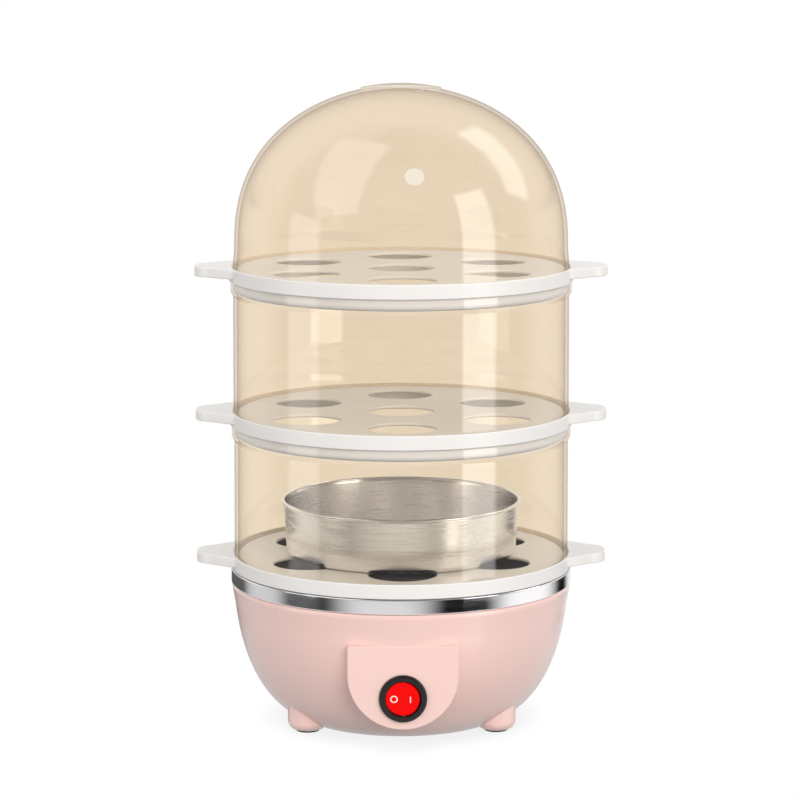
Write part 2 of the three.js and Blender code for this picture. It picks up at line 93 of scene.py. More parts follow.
# trays
RIM_WALL = 1.2
FLOOR_TOP = 6.1
FLOOR_T = 1.8
FLOOR_UNDER = FLOOR_TOP - FLOOR_T
SKIRT_H = 6.2
SKIRT_R = TRAY_R - 2.3
CHANNEL = (84.2, TRAY_R - RIM_WALL)
EGG_HOLE_R = 17.2
EGG_PITCH_R = 55.8
HANDLE_ROOT_HALF = 19.5
HANDLE_TIP_HALF = 10.5
HANDLE_T = 5

# covers
COVER_R = 86.5
COVER_WALL = 1.8
COLLAR_R = 87.5
COLLAR_WALL = 1
COLLAR_DROP = 7.4
DOME_R = 85.5
DOME_POWERS = (1.955, 2.405)
DISC_R = 20.6
DISC_RISE = 0.9
DOME_RISE = 82.7
VENT_R = 5
VENT_ELEVATION = 35
VENT_TURN = 4.35
VENT_PITCH_R = 77
VENT_DROP = 40.1

# base
SHELL_R = 86.9
SHELL_TOP = 72.2
SHELL_DEPTH = 75.4
SHELL_POWERS = (4.46, 1.79)
SHELL_WALL = 2.4
SHELL_BOTTOM = 1.6
MOUTH_R = 87.8
MOUTH_H = 2.4
LIP_R = 44
LEDGE_Z = (5.5, 7.5)
LEDGE_R = 34
FOOT_ANGLES = (-145, -35, 90)
FOOT_PITCH_R = 59
FOOT_R = 10.2
FOOT_BOTTOM = 0.8
COVER_SCREW_R = 38.5
COVER_SCREW_ANGLES = (-90, 30, 150)
PAN_FLOOR = 55.2
PAN_T = 0.8
PAN_FLOOR_R = 71
PAN_MOUTH_R = 78.4
BAND_WALL = 1.8

# switch panel, switch and cord outlet
PANEL_Y = -85.9
PANEL_DEPTH = 45
PANEL_HALF_W = 27.7
PANEL_TOP = 56
PANEL_ARC_Z = 41.3
SWITCH_Z = (housing_low.z + housing_high.z) / 2
BEZEL_Y = housing_low.y
BEZEL_R = 12
BEZEL_T = 2
BEZEL_BORE = 8.8
BARREL_R = 10
BARREL_DEPTH = 17
ROCKER_R = 8.45
ROCKER_TILT = 8
PIVOT_DEPTH = 2.5
OUTLET_Z = (gland_low.z + gland_high.z) / 2
OUTLET_FACE_Y = 82.5
OUTLET_BORE = 4.9

FINE = 192  # sides of a large round piece
MEDIUM = 64
SMALL = 32
SMOOTH_BELOW = 32  # degrees: two faces that meet at less than this are shaded as one surface


# ---------------------------------------------------------------- outlines
def rounded(corners, closed=True, steps=5):
    """Points along straight lines between (a, b, radius) corners, each turned by an arc of that radius."""
    points = []
    count = len(corners)
    for i, (a, b, radius) in enumerate(corners):
        at = Vector((a, b))
        if radius == 0 or (not closed and i in (0, count - 1)):
            points.append(at)
            continue
        back = (Vector(corners[i - 1][:2]) - at).normalized()
        ahead = (Vector(corners[(i + 1) % count][:2]) - at).normalized()
        half = back.angle(ahead) / 2
        start = at + back * radius / math.tan(half)
        centre = at + (back + ahead).normalized() * radius / math.sin(half)
        arm = start - centre
        turn = (math.pi - 2 * half) * (1 if back.cross(ahead) < 0 else -1)
        points += [centre + Matrix.Rotation(turn * k / steps, 2) @ arm for k in range(steps + 1)]
    return points


def arc(a, b, radius, start, end, steps=8):
    """Points on an arc about (a, b), from one angle to another, in degrees."""
    angles = [math.radians(start + (end - start) * k / steps) for k in range(steps + 1)]
    return [Vector((a + radius * math.cos(t), b + radius * math.sin(t))) for t in angles]


def quarter(radius, height, powers, steps, until=1.0):
    """Quarter of a superellipse: (radius, height) points from its widest level to a share of its height."""
    end = math.asin(until ** (powers[1] / 2))
    made = []
    for k in range(steps + 1):
        t = end * k / steps
        reach = 0 if until == 1.0 and k == steps else radius * math.cos(t) ** (2 / powers[0])
        made.append(Vector((reach, height * math.sin(t) ** (2 / powers[1]))))
    return made


def bezier(a, b, c, steps=10):
    """A quadratic curve's points, without its last one."""
    a, b, c = Vector(a), Vector(b), Vector(c)
    shares = [k / steps for k in range(steps)]
    return [a * (1 - t) ** 2 + b * 2 * t * (1 - t) + c * t * t for t in shares]


def around(angle, radius):
    return radius * math.cos(math.radians(angle)), radius * math.sin(math.radians(angle))


# ---------------------------------------------------------------- solids
def finished(name, mesh_builder):
    """An object from a bmesh drawn in millimetres, with its faces pointing out."""
    bmesh.ops.remove_doubles(mesh_builder, verts=mesh_builder.verts, dist=1e-4)
    bmesh.ops.recalc_face_normals(mesh_builder, faces=mesh_builder.faces)
    mesh = bpy.data.meshes.new(name)
    mesh_builder.to_mesh(mesh)
    mesh_builder.free()
    made = bpy.data.objects.new(name, mesh)
    scene.collection.objects.link(made)
    return made


def turned(name, profile, sides=FINE):
    """A solid turned about Z from (radius, height) points, which end on the axis or close on themselves."""
    work = bmesh.new()
    rings = []
    for r, z in profile:
        if r < 1e-6:
            rings.append([work.verts.new((0, 0, z))] * sides)
            continue
        angles = [2 * math.pi * k / sides for k in range(sides)]
        rings.append([work.verts.new((r * math.cos(t), r * math.sin(t), z)) for t in angles])
    on_axis = profile[0][0] < 1e-6 and profile[-1][0] < 1e-6
    pairs = list(zip(rings, rings[1:]))
    if not on_axis:
        pairs.append((rings[-1], rings[0]))
    for lower, upper in pairs:
        for k in range(sides):
            corners = [lower[k], lower[(k + 1) % sides], upper[(k + 1) % sides], upper[k]]
            corners = list(dict.fromkeys(corners))
            if len(corners) > 2:
                work.faces.new(corners)
    return finished(name, work)


def slab(name, outline, low, high, low_round=0.0, high_round=0.0, steps=4):
    """A flat outline raised along Z, with its lower and upper edges rounded over."""
    count = len(outline)
    outward = []
    for k in range(count):
        along = (outline[(k + 1) % count] - outline[k - 1]).normalized()
        outward.append(Vector((along.y, -along.x)))
    levels = []
    if low_round:
        levels += [(low_round * (1 - math.sin(t)), low + low_round * (1 - math.cos(t)))
                   for t in (math.pi / 2 * k / steps for k in range(steps + 1))]
    else:
        levels.append((0, low))
    if high_round:
        levels += [(high_round * (1 - math.cos(t)), high - high_round * (1 - math.sin(t)))
                   for t in (math.pi / 2 * k / steps for k in range(steps + 1))]
    else:
        levels.append((0, high))
    work = bmesh.new()
    rings = []
    for inset, z in levels:
        rings.append([work.verts.new((*(p - n * inset), z)) for p, n in zip(outline, outward)])
    for lower, upper in zip(rings, rings[1:]):
        for k in range(count):
            work.faces.new([lower[k], lower[(k + 1) % count], upper[(k + 1) % count], upper[k]])
    work.faces.new(rings[0])
    work.faces.new(rings[-1])
    return finished(name, work)


def placed(piece, at=(0, 0, 0), turns=()):
    """Moves a piece's mesh, after turning it by (degrees, axis) steps."""
    matrix = Matrix.Translation(at)
    for degrees, axis in reversed(turns):
        matrix = matrix @ Matrix.Rotation(math.radians(degrees), 4, axis)
    piece.data.transform(matrix)
    return piece


def combined(body, operation, *others):
    """Joins others to the body, or cuts them from it, and removes them."""
    for other in others:
        modifier = body.modifiers.new("join_or_cut", "BOOLEAN")
        modifier.operation = operation
        modifier.solver = "MANIFOLD"
        modifier.object = other
    depsgraph = bpy.context.evaluated_depsgraph_get()
    result = bpy.data.meshes.new_from_object(body.evaluated_get(depsgraph))
    body.modifiers.clear()
    body.data = result
    for other in others:
        bpy.data.objects.remove(other)
    return body


def joined(body, *others):
    return combined(body, "UNION", *others)


def cut(body, *others):
    return combined(body, "DIFFERENCE", *others)


def pin(name, radius, low, high, sides=SMALL):
    return turned(name, [(0, low), (radius, low), (radius, high), (0, high)], sides)


def block(name, size, centre, edge=0.0):
    """A box with rounded edges."""
    work = bmesh.new()
    bmesh.ops.create_cube(work, size=1)
    bmesh.ops.scale(work, vec=size, verts=work.verts)
    bmesh.ops.translate(work, vec=centre, verts=work.verts)
    if edge:
        bmesh.ops.bevel(work, geom=work.edges[:], offset=edge, segments=3, profile=0.5, affect="EDGES")
    return finished(name, work)


def show(piece, body, slot, material, *nodes):
    """Finishes a piece: metres, smooth shading, material, and what it rides on and stands for."""
    piece.data.transform(Matrix.Scale(MM, 4))
    piece.data.shade_smooth()
    piece.data.set_sharp_from_angle(angle=math.radians(SMOOTH_BELOW))
    even = piece.modifiers.new("even_normals", "WEIGHTED_NORMAL")
    even.keep_sharp = True
    piece.data.materials.clear()
    piece.data.materials.append(material)
    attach(piece, body)
    if nodes:
        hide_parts(*nodes)
    return piece


def second_finish(piece, material, chosen):
    """Gives another material to the faces that are chosen by their centre, in millimetres, and normal."""
    piece.data.materials.append(material)
    for face in piece.data.polygons:
        if chosen(face.center / MM, face.normal):
            face.material_index = 1


# ---------------------------------------------------------------- material nodes
def node(tree, kind, inputs=None, **settings):
    """A shader node whose inputs are numbers, colours or other nodes' outputs."""
    made = tree.nodes.new("ShaderNode" + kind)
    for name, value in settings.items():
        setattr(made, name, value)
    for name, value in (inputs or {}).items():
        if isinstance(value, bpy.types.NodeSocket):
            tree.links.new(value, made.inputs[name])
        else:
            made.inputs[name].default_value = value
    return made


def calc(tree, operation, *values):
    return node(tree, "Math", dict(enumerate(values)), operation=operation).outputs[0]


def remap(tree, value, start, end, low, high):
    """The value's range from start to end becomes low to high, smoothly."""
    ends = {"Value": value, "From Min": start, "From Max": end, "To Min": low, "To Max": high}
    return node(tree, "MapRange", ends, interpolation_type="SMOOTHSTEP").outputs["Result"]


def new_material(name):
    material = bpy.data.materials.new(name)
    material.use_nodes = True
    material.node_tree.nodes.clear()
    return material, material.node_tree


def grain(tree, scale, detail=3):
    """Noise in the object's own metres."""
    where = node(tree, "TexCoord").outputs["Object"]
    return node(tree, "TexNoise", {"Vector": where, "Scale": scale, "Detail": detail}).outputs["Fac"]


def tinted(tree, colour, value, swing):
    """The colour, made a little darker and lighter as the value goes from 0 to 1."""
    darker = (*(c * (1 - swing) for c in colour), 1)
    lighter = (*(min(c * (1 + swing), 1) for c in colour), 1)
    return node(tree, "Mix", {"Factor": value, 6: darker, 7: lighter}, data_type="RGBA").outputs[2]


def bumped(tree, height, strength, distance):
    return node(tree, "Bump", {"Height": height, "Strength": strength, "Distance": distance}).outputs[0]


def to_output(tree, shader):
    node(tree, "OutputMaterial", {"Surface": shader})


def moulded(name, colour, roughness, swing=0.015, skin=(2600, 0.12), coat=0.0, coat_rough=0.05, soft=0.0,
            shine=0.5):
    """Moulded plastic or rubber: slow shifts in colour and gloss, and a fine skin from the mould."""
    material, tree = new_material(name)
    slow = grain(tree, 18)
    fine = grain(tree, skin[0], 2)
    gloss = remap(tree, slow, 0.3, 0.7, roughness * 0.88, roughness * 1.12)
    shader = node(tree, "BsdfPrincipled", {
        "Base Color": tinted(tree, colour, slow, swing),
        "Roughness": gloss,
        "Normal": bumped(tree, fine, skin[1], 0.00002),
        "Specular IOR Level": shine,
        "Coat Weight": coat,
        "Coat Roughness": coat_rough,
        "Subsurface Weight": soft,
        "Subsurface Radius": (1, 0.8, 0.7),
        "Subsurface Scale": 0.002,
    })
    to_output(tree, shader.outputs[0])
    return material


def metal(name, colour, roughness, marks_scale=900, depth=0.1, swing=0.03):
    """Bare metal, with fine marks in its surface and in its gloss."""
    material, tree = new_material(name)
    marks = grain(tree, marks_scale, 4)
    slow = grain(tree, 25, 2)
    worn = calc(tree, "MULTIPLY", marks, remap(tree, slow, 0.3, 0.7, 0.8, 1.2))
    gloss = remap(tree, worn, 0.2, 0.8, roughness * 0.75, roughness * 1.3)
    shader = node(tree, "BsdfPrincipled", {
        "Base Color": tinted(tree, colour, slow, swing),
        "Metallic": 1.0,
        "Roughness": gloss,
        "Normal": bumped(tree, marks, depth, 0.00002),
    })
    to_output(tree, shader.outputs[0])
    return material


def spun(name, colour, roughness, rings=1400, depth=0.1):
    """Metal brushed on a turning lathe: fine rings about Z, from noise that changes little round them."""
    material, tree = new_material(name)
    where = node(tree, "TexCoord").outputs["Object"]
    x, y, z = node(tree, "SeparateXYZ", {0: where}).outputs
    squares = calc(tree, "ADD", calc(tree, "MULTIPLY", x, x), calc(tree, "MULTIPLY", y, y))
    radius = calc(tree, "SQRT", squares)
    angle = calc(tree, "MULTIPLY", calc(tree, "ARCTAN2", y, x), 0.004)  # metres a radian: slow round each ring
    flat = node(tree, "CombineXYZ", {0: radius, 1: z, 2: angle}).outputs[0]
    marks = node(tree, "TexNoise", {"Vector": flat, "Scale": rings, "Detail": 4}).outputs["Fac"]
    slow = grain(tree, 30, 2)
    gloss = remap(tree, marks, 0.25, 0.75, roughness * 0.7, roughness * 1.3)
    shader = node(tree, "BsdfPrincipled", {
        "Base Color": tinted(tree, colour, slow, 0.02),
        "Metallic": 1.0,
        "Roughness": gloss,
        "Normal": bumped(tree, marks, depth, 0.00001),
    })
    to_output(tree, shader.outputs[0])
    return material


def clear_plastic(name, tint, edge_tint):
    """Tinted see-through plastic: what is behind shows through each face's tint, deeper where the wall is
    seen edge on, with a mirror gloss that grows towards the edges. Other rays than the camera's are hardly
    tinted, so that the light inside stays bright."""
    material, tree = new_material(name)
    facing = node(tree, "LayerWeight", {"Blend": 0.5}).outputs["Facing"]
    ripple = bumped(tree, grain(tree, 35, 2), 0.03, 0.002)
    gloss = node(tree, "BsdfGlossy", {"Color": (1, 1, 1, 1), "Roughness": 0.02, "Normal": ripple})
    through = node(tree, "BsdfTransparent", {"Color": (*tint, 1)})
    deep = node(tree, "BsdfTransparent", {"Color": (*edge_tint, 1)})
    edge_on = calc(tree, "POWER", facing, 8)
    wall = node(tree, "MixShader", {0: edge_on, 1: through.outputs[0], 2: deep.outputs[0]})
    share = calc(tree, "MULTIPLY_ADD", calc(tree, "POWER", facing, 5), 0.25, 0.04)
    seen = node(tree, "MixShader", {0: share, 1: wall.outputs[0], 2: gloss.outputs[0]})
    lit = node(tree, "BsdfTransparent", {"Color": (0.985, 0.975, 0.96, 1)})
    direct = node(tree, "LightPath").outputs["Is Camera Ray"]
    both = node(tree, "MixShader", {0: direct, 1: lit.outputs[0], 2: seen.outputs[0]})
    to_output(tree, both.outputs[0])
    return material


pink = moulded("pink_plastic", (0.93, 0.64, 0.585), 0.3, swing=0.012, skin=(2600, 0.04), coat=0.6,
               coat_rough=0.03)
white = moulded("white_plastic", (0.86, 0.835, 0.81), 0.32, swing=0.01, soft=0.1)
amber = clear_plastic("amber_plastic", (0.962, 0.915, 0.843), (0.38, 0.24, 0.09))
pale_amber = clear_plastic("thin_amber_plastic", (0.99, 0.98, 0.962), (0.6, 0.5, 0.36))
band_steel = spun("polished_steel", (0.88, 0.865, 0.87), 0.045, depth=0.03)
# the pan's inside steel is painted near black: painted shade, standing in for the shade inside the pan under
# the trays
pan_inside_painted_shade = spun("pan_steel_painted_shade", (0.2, 0.205, 0.22), 0.4, rings=700, depth=0.2)
bowl_steel = spun("satin_steel", (0.93, 0.92, 0.925), 0.24, rings=900, depth=0.15)
screw_steel = metal("screw_steel", (0.62, 0.61, 0.6), 0.25)
heater_steel = metal("heater_steel", (0.45, 0.43, 0.41), 0.35, marks_scale=400, swing=0.12)
aluminium = metal("cast_aluminium", (0.68, 0.69, 0.7), 0.42, marks_scale=350, depth=0.4)
brass = metal("brass", (0.78, 0.57, 0.24), 0.28)
black = moulded("black_plastic", (0.007, 0.0055, 0.005), 0.24, swing=0.08)
red = moulded("red_plastic", (0.95, 0.0006, 0.0005), 0.5, swing=0.012, shine=0.12)
mark_paint = moulded("mark_paint", (0.95, 0.78, 0.72), 0.45)
silicone = moulded("silicone", (0.62, 0.6, 0.57), 0.6, swing=0.04)
rubber = moulded("rubber", (0.055, 0.055, 0.058), 0.7, swing=0.15, skin=(1500, 0.4))
ceramic = moulded("ceramic", (0.78, 0.73, 0.65), 0.55, swing=0.05, skin=(900, 0.5))
sleeving = moulded("glass_sleeving", (0.78, 0.74, 0.67), 0.6, swing=0.06, skin=(3500, 0.8))


# ---------------------------------------------------------------- trays
def handle_outline():
    """A handle's outline, from well inside the rim to its tip."""
    root, tip = HANDLE_ROOT_HALF, HANDLE_TIP_HALF
    inner = (TRAY_R - RIM_WALL / 2) * 0.962
    side = [
        *bezier((inner, -root - 4.5), (TRAY_R + 3, -root), (HANDLE_TIP_X - 7, -tip - 2.2), 14),
        *bezier((HANDLE_TIP_X - 7, -tip - 2.2), (HANDLE_TIP_X, -tip), (HANDLE_TIP_X, -2), 10),
        Vector((HANDLE_TIP_X, -2)),
    ]
    return side + [Vector((p.x, -p.y)) for p in reversed(side)]


def tray_plate(name):
    """The turned part of a tray, above its seat at zero."""
    under = FLOOR_UNDER
    skirt_in = SKIRT_R - 1.5
    profile = [
        Vector((0, FLOOR_TOP)),
        *rounded([
            (0, FLOOR_TOP, 0),
            (CHANNEL[0], FLOOR_TOP, 0.6),
            (CHANNEL[0], under, 0.2),
            (CHANNEL[1], under, 0.3),
            (CHANNEL[1], RIM_H, 0.45),
            (TRAY_R, RIM_H, 0.55),
            (TRAY_R, 0, 0.5),
            (SKIRT_R, 0, 0.2),
            (SKIRT_R, -SKIRT_H, 3.0),
            (skirt_in - 1.4, -SKIRT_H, 0.4),
            (skirt_in - 0.2, -2.2, 1.6),
            (skirt_in, under - FLOOR_T, 0.4),
            (skirt_in - 1.6, under - FLOOR_T, 0.4),
            (skirt_in - 1.6, under, 0.3),
            (0, under, 0),
        ], closed=False)[1:],
    ]
    return turned(name, profile)


def egg_cutter(angle):
    """Cuts an egg seat whose edges are rounded over, above and below."""
    under = FLOOR_UNDER
    flare = 0.8
    profile = [
        Vector((0, RIM_H)),
        Vector((EGG_HOLE_R + flare, RIM_H)),
        Vector((EGG_HOLE_R + flare, FLOOR_TOP + 0.005)),
        *arc(EGG_HOLE_R + flare, FLOOR_TOP - flare, flare, 90, 180, 6),
        *arc(EGG_HOLE_R + flare, under + flare, flare, 180, 270, 6),
        Vector((EGG_HOLE_R + flare, under - 2)),
        Vector((0, under - 2)),
    ]
    made = turned("egg_cutter", profile, 96)
    return placed(made, (0, 0, 0) if angle is None else (*around(angle, EGG_PITCH_R), 0))


def make_tray(name, seat):
    tray = tray_plate(name)
    for side in (0, 180):
        low, high = RIM_H - HANDLE_T, RIM_H - 0.02  # a hair under the rim's top
        tab = slab("tab", handle_outline(), low, high, 0.5, 0.45)
        tab = placed(tab, turns=[(side, "Z")])
        tray = joined(tray, cut(tab, pin("inside", TRAY_R - RIM_WALL / 2, -10, 20, FINE)))
    tray = cut(tray, *[egg_cutter(angle) for angle in (None, *range(-90, 270, 60))])
    show(placed(tray, (0, 0, seat)), name, "tray_plastic", white, name)


# ---------------------------------------------------------------- covers
COVER_FOOT = FLOOR_UNDER + GAP  # where a cover stands, above the seat of its tray


def make_ring(name, seat):
    high = TIER_H - GAP
    draft = 0.3  # the wall leans in by this much from its foot to its shoulder
    wall_r = COVER_R - draft
    inner = wall_r - COVER_WALL
    turn = high - COLLAR_DROP
    profile = rounded([
        (COVER_R, COVER_FOOT, 0.6),
        (wall_r, turn, 1.6),
        (COLLAR_R, turn + 1.9, 1.6),
        (COLLAR_R, high, 0.35),
        (COLLAR_R - COLLAR_WALL, high, 0.35),
        (COLLAR_R - COLLAR_WALL, turn + 2.6, 1.2),
        (inner, turn, 1.2),
        (inner + draft, COVER_FOOT, 0.6),
    ])
    ring = show(placed(turned(name, profile), (0, 0, seat)), name, "cover_clear", amber, name)
    second_finish(ring, pale_amber, lambda centre, normal: centre.z > seat + turn + 1.9)


def dome(inset, steps):
    """The lid's outline from where its straight wall ends to its top."""
    spring = lid_high.z - DISC_RISE - DOME_RISE
    line = quarter(DOME_R - inset, DOME_RISE - inset, DOME_POWERS, steps)
    return [Vector((p.x, p.y + spring)) for p in line]


def make_lid():
    low = lid_low.z
    draft_top = SEATS[2] + 16  # the wall leans out from here down to its foot
    steps = 56
    outside = dome(0, steps)
    step_at = next(k for k, p in enumerate(outside) if p.x < DISC_R)
    edge = outside[step_at - 1]
    disc = [Vector((p.x, p.y + DISC_RISE)) for p in outside[step_at:]]
    rim = Vector((DISC_R, edge.y + (disc[0].y - DISC_RISE - edge.y) * 0.4))
    profile = [
        *outside[:step_at],
        rim,
        *arc(DISC_R - 0.4, rim.y + DISC_RISE - 0.4, 0.4, 0, 80, 4),
        *disc,
        *reversed(dome(COVER_WALL, steps)),
        *rounded([
            (DOME_R - COVER_WALL, draft_top, 0),
            (COVER_R - COVER_WALL, low, 0.6),
            (COVER_R, low, 0.6),
            (DOME_R, draft_top, 0),
        ], closed=False)[1:-1],
    ]
    lid = turned("lid", profile)
    depth = 10
    flare = 0.6
    flare_at = 0.35
    drill = turned("drill", [
        (0, -depth),
        (VENT_R, -depth),
        (VENT_R, flare_at),
        *[tuple(p) for p in arc(VENT_R + flare, flare_at, flare, 180, 90, 5)],
        (VENT_R + flare + 3, flare_at + flare + 2),
        (0, 6),
    ], MEDIUM)
    # the drill points out and up from the dome, then turns about Z from the front towards +X
    placed(drill, turns=[(90, "X"), (-VENT_ELEVATION, "X")])
    placed(drill, (0, -VENT_PITCH_R, lid_high.z - VENT_DROP))
    placed(drill, turns=[(VENT_TURN, "Z")])
    show(cut(lid, drill), "lid", "cover_clear", amber, "lid")


# ---------------------------------------------------------------- steel pieces
def make_bowl():
    radius = bowl_high.y
    foot_r = 59.5
    wall = 0.8
    bead = 0.85  # radius of the rolled rim
    side_r = radius - 1.0
    top = bowl_high.z - bowl_low.z
    profile = [
        Vector((0, 0)),
        *rounded([
            (0, 0, 0),
            (foot_r, 0, 2.8),
            (side_r, top - 2.2, 0.6),
            (side_r, top - 1.7, 0),
        ], closed=False)[1:],
        *arc(radius - bead, top - bead, bead, -75, 215, 16),
        *rounded([
            (side_r - wall, top - 2.6, 0),
            (foot_r - wall, wall, 2.2),
            (0, wall, 0),
        ], closed=False),
    ]
    bowl = placed(turned("steaming_bowl", profile), (0, 0, bowl_low.z))
    show(bowl, "steaming_bowl", "bowl_steel", bowl_steel, "steaming_bowl")


def make_pan():
    band_low, band_high = SHELL_TOP + GAP, pan_high.z
    ledge = SEATS[0] - SKIRT_H - GAP
    wall = BAND_WALL
    profile = [
        Vector((0, PAN_FLOOR)),
        *rounded([
            (0, PAN_FLOOR, 0),
            (PAN_FLOOR_R, PAN_FLOOR, 4),
            (PAN_MOUTH_R, ledge, 1.2),
            (TRAY_R - wall, ledge, 0.4),
            (TRAY_R - wall, band_high, 0.4),
            (TRAY_R, band_high, 0.5),
            (TRAY_R, band_low, 0.5),
            (PAN_MOUTH_R + 0.8, band_low, 0.8),
            (PAN_FLOOR_R + PAN_T, PAN_FLOOR - PAN_T, 4.6),
            (0, PAN_FLOOR - PAN_T, 0),
        ], closed=False)[1:],
    ]
    pan = show(turned("water_pan", profile), "base", "pan_steel", band_steel, "water_pan")
    # the faces inside the pan, under the trays, get the steel painted dark as painted shade
    second_finish(pan, pan_inside_painted_shade, lambda centre, normal: centre.xy.length < TRAY_R - wall + 0.1 and (
        normal.z > 0.3 or normal.xy.dot(centre.xy) < 0))


# ---------------------------------------------------------------- base shell
def bowl_line(inset, steps=40):
    """The base's outer or inner line, from its mouth down to its flat underside."""
    depth = SHELL_DEPTH - inset * 1.1
    floor = SHELL_BOTTOM + inset
    points = quarter(SHELL_R - inset, depth, SHELL_POWERS, steps, (SHELL_TOP - floor) / depth)
    return [Vector((p.x, SHELL_TOP - p.y)) for p in points]


def panel_outline(inset):
    half = PANEL_HALF_W - inset
    corner = 0.9
    top = PANEL_TOP - inset
    return [
        *arc(half - corner, top - corner, corner, 0, 90, 4),
        *arc(-half + corner, top - corner, corner, 90, 180, 4),
        *arc(0, PANEL_ARC_Z, half, 180, 360, 48),
    ]


def panel_block(inset, edge):
    """The D-shaped block that stands out of the bowl, its face to the front."""
    made = slab("panel", panel_outline(inset), -PANEL_DEPTH, -inset, 0, edge, 5)
    return placed(made, (0, PANEL_Y, 0), [(90, "X")])


def foot(angle):
    """A stub foot, drawn up to well inside the bowl."""
    top = 20
    corners = [(0, FOOT_BOTTOM, 0), (FOOT_R, FOOT_BOTTOM, 4.6), (FOOT_R, top, 0), (0, top, 0)]
    profile = rounded(corners, closed=False, steps=10)
    return placed(turned("foot", profile, MEDIUM), (*around(angle, FOOT_PITCH_R), 0))


def at_outlet(piece):
    """Places a piece drawn with its outer face on zero at the cord outlet, turned to the back."""
    return placed(piece, (0, OUTLET_FACE_Y, OUTLET_Z), [(-90, "X")])


def make_shell():
    line = bowl_line(0)
    bead_end = 6  # the first point of the line below the bead round the mouth
    outer = turned("base_shell", [
        Vector((0, SHELL_TOP)),
        *rounded([
            (0, SHELL_TOP, 0),
            (MOUTH_R, SHELL_TOP, 1.2),
            (MOUTH_R, SHELL_TOP - MOUTH_H, 0.9),
            (*line[bead_end], 0),
        ], closed=False)[1:-1],
        *line[bead_end:-1],
        *rounded([
            (*line[-2], 0),
            (line[-1].x, SHELL_BOTTOM, 1.5),
            (LIP_R, SHELL_BOTTOM, 0.6),
            (LIP_R, LEDGE_Z[0], 0.3),
            (0, LEDGE_Z[0], 0),
        ], closed=False)[1:],
    ])
    inner_line = bowl_line(SHELL_WALL)
    inside_r = SHELL_R - SHELL_WALL
    hollow = turned("hollow", [
        Vector((0, SHELL_TOP + 3)),
        Vector((inside_r, SHELL_TOP + 3)),
        *inner_line,
        Vector((LIP_R + SHELL_WALL, SHELL_BOTTOM + SHELL_WALL)),
        Vector((LIP_R + SHELL_WALL, LEDGE_Z[1])),
        Vector((0, LEDGE_Z[1])),
    ])
    boss_r, boss_depth = 10, 20
    corners = [(0, -boss_depth, 0), (boss_r, -boss_depth, 0), (boss_r, 0, 1.0), (0, 0, 0)]
    outlet = at_outlet(turned("outlet", rounded(corners, closed=False), MEDIUM))
    outlet_bore = at_outlet(pin("bore", boss_r - 2.5, -boss_depth, -SHELL_WALL))
    shell = joined(outer, panel_block(0, 0.55), outlet, *[foot(angle) for angle in FOOT_ANGLES])
    shell = cut(shell, hollow, panel_block(SHELL_WALL, 0), outlet_bore)
    holes = [placed(pin("hole", 5.3, -1, 6), (*around(a, FOOT_PITCH_R), 0)) for a in FOOT_ANGLES]
    holes.append(pin("access", LEDGE_R, -1, LEDGE_Z[1] + 0.5, FINE))
    holes += [placed(pin("hole", 1.6, -1, 12), (*around(a, COVER_SCREW_R), 0)) for a in COVER_SCREW_ANGLES]
    barrel_hole = pin("hole", BARREL_R + GAP, -6, 6, MEDIUM)
    holes.append(placed(barrel_hole, (0, PANEL_Y, SWITCH_Z), [(90, "X")]))
    holes.append(at_outlet(pin("hole", OUTLET_BORE, -12, 6, MEDIUM)))
    show(cut(shell, *holes), "base", "base_plastic", pink, "base_shell")


def make_service_cover():
    """The round cover under the base, with its vent slots and screw holes."""
    low, high = plate_low.z, plate_high.z
    radius = plate_high.y
    corners = [(0, low, 0), (radius, low, 0.6), (radius, high, 0.3), (0, high, 0)]
    plate = turned("service_cover", rounded(corners, closed=False))
    slot_half, slot_r = 12, 1.1
    ends = [*arc(slot_half, 0, slot_r, -90, 90), *arc(-slot_half, 0, slot_r, 90, 270)]
    slots = [placed(slab("slot", ends, low - 1, high + 1), (0, y, 0)) for y in range(-12, 13, 6)]
    sinks = [
        placed(pin("hole", 1.9, low - 1, high + 1), (*around(angle, COVER_SCREW_R), 0))
        for angle in COVER_SCREW_ANGLES
    ]
    show(cut(plate, *slots, *sinks), "base", "base_plastic", pink, "service_cover")


def make_cover_screw(name, angle):
    """A screw with a round head and a crossed drive, head down."""
    bottom = span(name)[0].z
    head_r, head_h = 2.6, 0.8
    shank_r, length = 1.2, 9
    screw = turned(name, rounded([
        (0, bottom, 0),
        (head_r, bottom, 0.5),
        (head_r, bottom + head_h, 0.1),
        (shank_r, bottom + head_h, 0),
        (shank_r, bottom + length, 0),
        (0, bottom + length, 0),
    ], closed=False), SMALL)
    drive = [block("drive", size, (0, 0, bottom)) for size in ((2.8, 0.55, 0.9), (0.55, 2.8, 0.9))]
    screw = placed(cut(screw, *drive), (*around(angle, COVER_SCREW_R), 0))
    show(screw, "base", "screw_steel", screw_steel, name)


def make_foot_pad(name, angle):
    """A rubber pad whose stem fits up into its foot."""
    top = FOOT_BOTTOM - GAP
    pad_r, stem_r, stem_top = 6, 4.8, 4
    pad = turned(name, rounded([
        (0, 0, 0),
        (pad_r, 0, 0.25),
        (pad_r, top, 0.1),
        (stem_r, top, 0),
        (stem_r, stem_top, 0.5),
        (0, stem_top, 0),
    ], closed=False), SMALL)
    show(placed(pad, (*around(angle, FOOT_PITCH_R), 0)), "base", "pad_rubber", rubber, name)


def make_underside():
    make_service_cover()
    for i, angle in enumerate(COVER_SCREW_ANGLES):
        make_cover_screw(f"cover_screw_{i + 1}", angle)
    for i, angle in enumerate(FOOT_ANGLES):
        make_foot_pad(f"foot_pad_{i + 1}", angle)


# ---------------------------------------------------------------- switch and cord outlet
def on_panel(piece):
    """Places a piece drawn with its front on zero at the bezel's face, turned to the front."""
    return placed(piece, (0, BEZEL_Y, SWITCH_Z), [(90, "X")])


